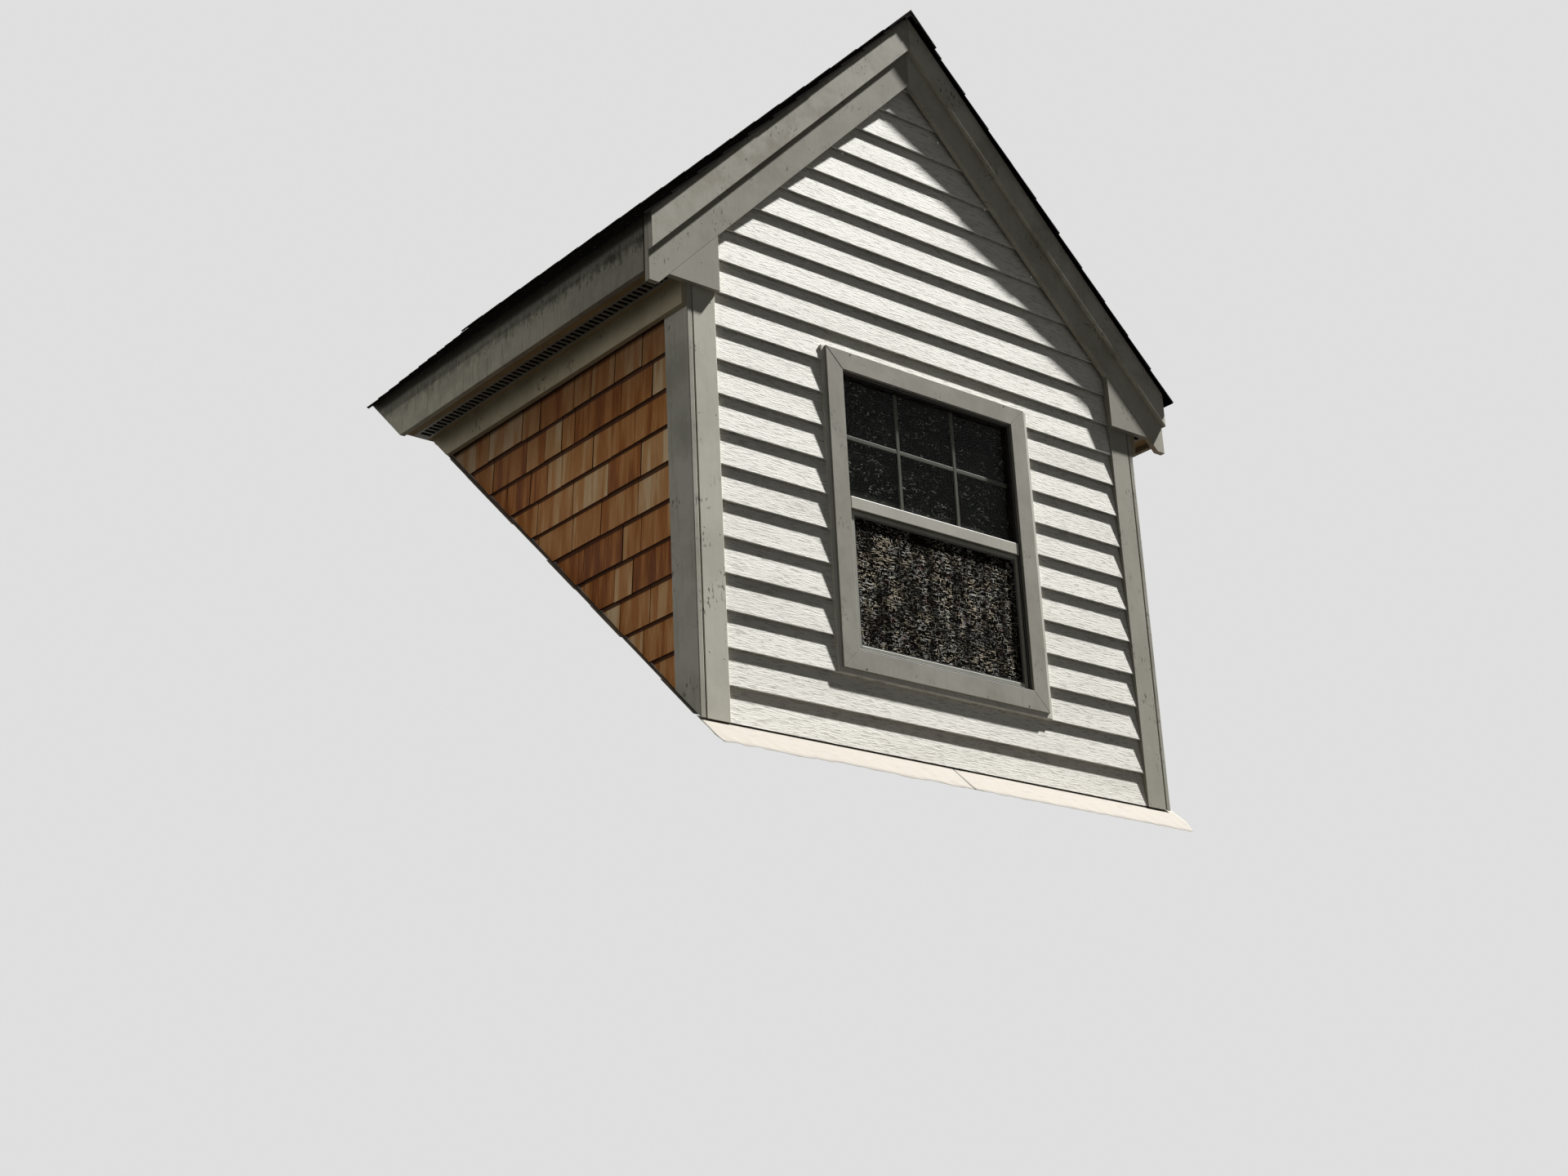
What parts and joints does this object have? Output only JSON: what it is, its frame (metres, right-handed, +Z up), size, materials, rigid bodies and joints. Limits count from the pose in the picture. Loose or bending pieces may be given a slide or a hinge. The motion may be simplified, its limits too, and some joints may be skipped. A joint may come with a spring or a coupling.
{
  "type": "gabled dormer with a single-hung window",
  "caption": "Gabled roof dormer with a single-hung window, lap siding on its front, cedar shingles on its cheeks and an asphalt shingle roof.",
  "frame": {"origin": "middle of the front wall's foot, on the sloping seat where the dormer stands on the main roof", "axes": "+X across the dormer, to the right seen from in front of the window; +Y back into the main roof; +Z up"},
  "size_m": [2.3348, 2.8643, 2.7951],
  "materials": {
    "framing": "sawn framing lumber and sheathing",
    "asphalt": "granule-faced asphalt shingle",
    "trim_paint": "satin paint on smooth boards, with mildew streaks",
    "siding_vinyl": "embossed wood grain, satin",
    "cedar": "bare cedar, uneven and weathered",
    "vent_vinyl": "satin",
    "dark_vinyl": "smooth satin",
    "pale_vinyl": "smooth satin",
    "glass": "clear, dark inside",
    "screen": "pale painted bars with a fine dark mesh",
    "flashing": "white gloss coil stock"
  },
  "bodies": {
    "root": {"front_wall": "framing", "left_cheek_wall": "framing", "right_cheek_wall": "framing", "ridge_board": "framing", "left_rafters": "framing", "right_rafters": "framing", "left_roof_deck": "framing", "right_roof_deck": "framing", "left_roof_shingles": "asphalt", "right_roof_shingles": "asphalt", "ridge_cap": "asphalt", "left_fascia": "trim_paint", "right_fascia": "trim_paint", "left_soffit": "trim_paint", "right_soffit": "trim_paint", "left_eave_frieze": "trim_paint", "right_eave_frieze": "trim_paint", "left_rake_board": "trim_paint", "right_rake_board": "trim_paint", "left_rake_frieze": "trim_paint", "right_rake_frieze": "trim_paint", "left_rake_filler": "trim_paint", "right_rake_filler": "trim_paint", "left_front_corner_board": "trim_paint", "right_front_corner_board": "trim_paint", "left_side_corner_board": "trim_paint", "right_side_corner_board": "trim_paint", "window_casing": "trim_paint", "window_channel": "trim_paint", "front_siding": "siding_vinyl", "left_cheek_shingles": "cedar", "right_cheek_shingles": "cedar", "left_soffit_vent": "vent_vinyl", "right_soffit_vent": "vent_vinyl", "window_frame": "dark_vinyl", "meeting_rail": "pale_vinyl", "lower_sash": "pale_vinyl", "upper_glass": "glass", "lower_glass": "glass", "insect_screen": "screen", "front_flashing": "flashing", "left_step_flashing": "flashing", "right_step_flashing": "flashing"}
  },
  "joints": []
}
